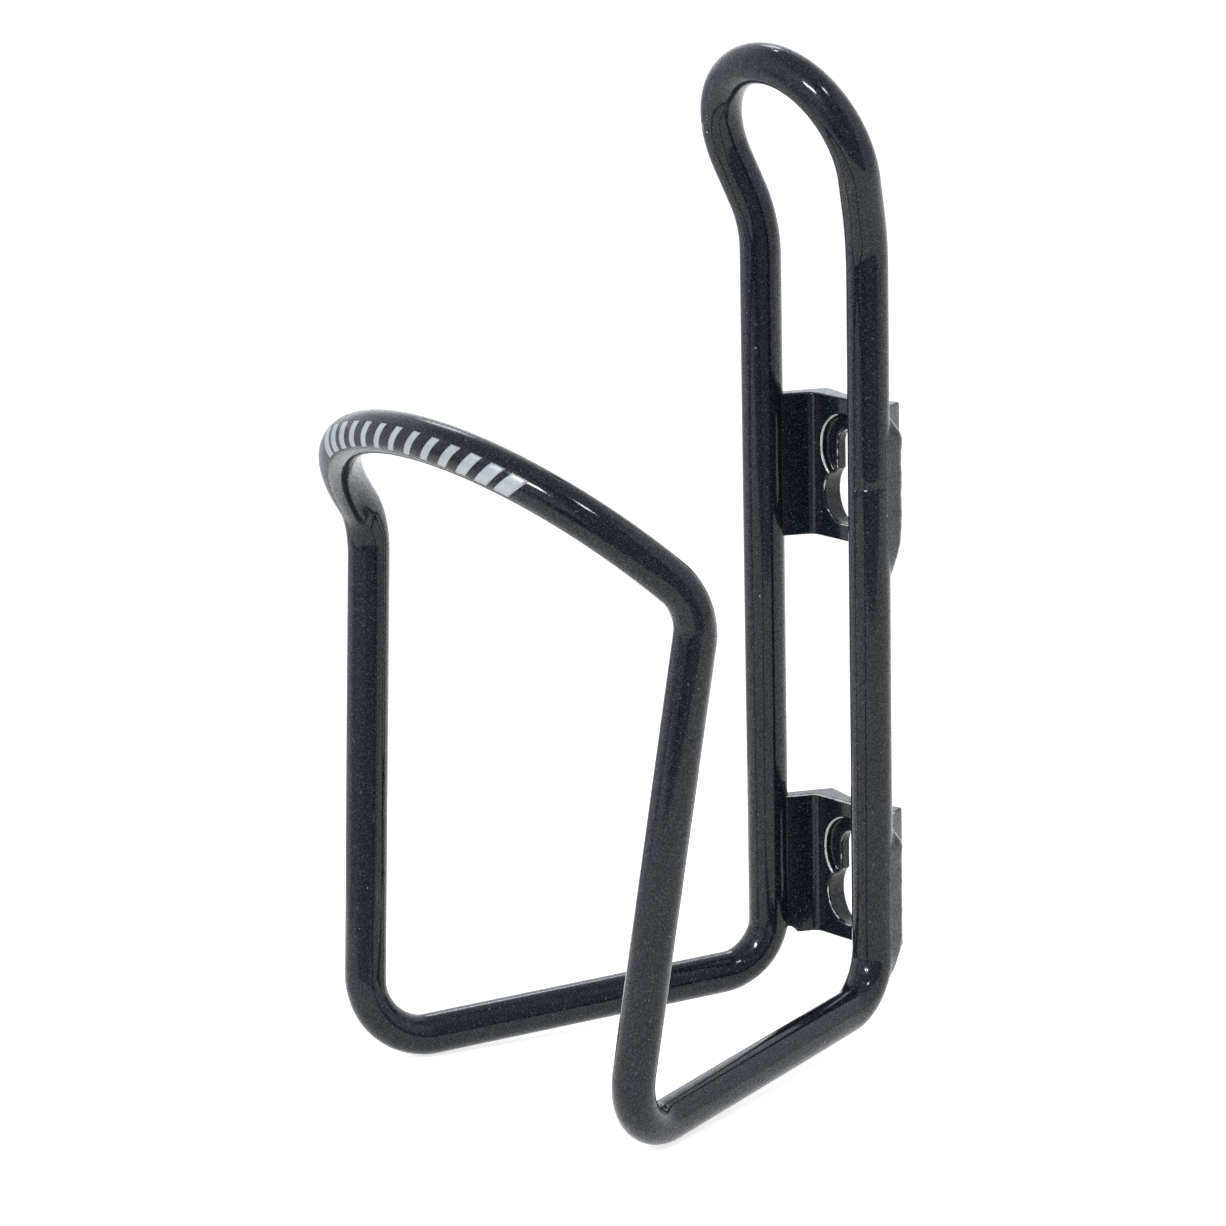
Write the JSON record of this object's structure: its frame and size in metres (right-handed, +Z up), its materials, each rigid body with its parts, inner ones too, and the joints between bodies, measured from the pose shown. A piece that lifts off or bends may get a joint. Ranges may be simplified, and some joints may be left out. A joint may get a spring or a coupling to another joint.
{
  "type": "bottle cage",
  "caption": "Bicycle bottle cage bent from one round tube: rear stays joined by a top loop, slotted bracket plates between them, arms under the bottle and a tilted front hoop.",
  "frame": {"origin": "middle of the two brackets' entry holes, on the root line of the mounting groove", "axes": "+Z up along the bicycle tube that carries the cage, -Y towards the bottle, +X to the right"},
  "size_m": [0.0818, 0.091, 0.1536],
  "materials": {
    "paint": "gloss black paint over aluminium",
    "ink": "thin silver-grey print"
  },
  "bodies": {
    "root": {"tube": "paint", "upper_bracket": "paint", "lower_bracket": "paint", "upper_left_weld": "paint", "upper_right_weld": "paint", "lower_left_weld": "paint", "lower_right_weld": "paint", "hoop_print": "ink"}
  },
  "joints": []
}
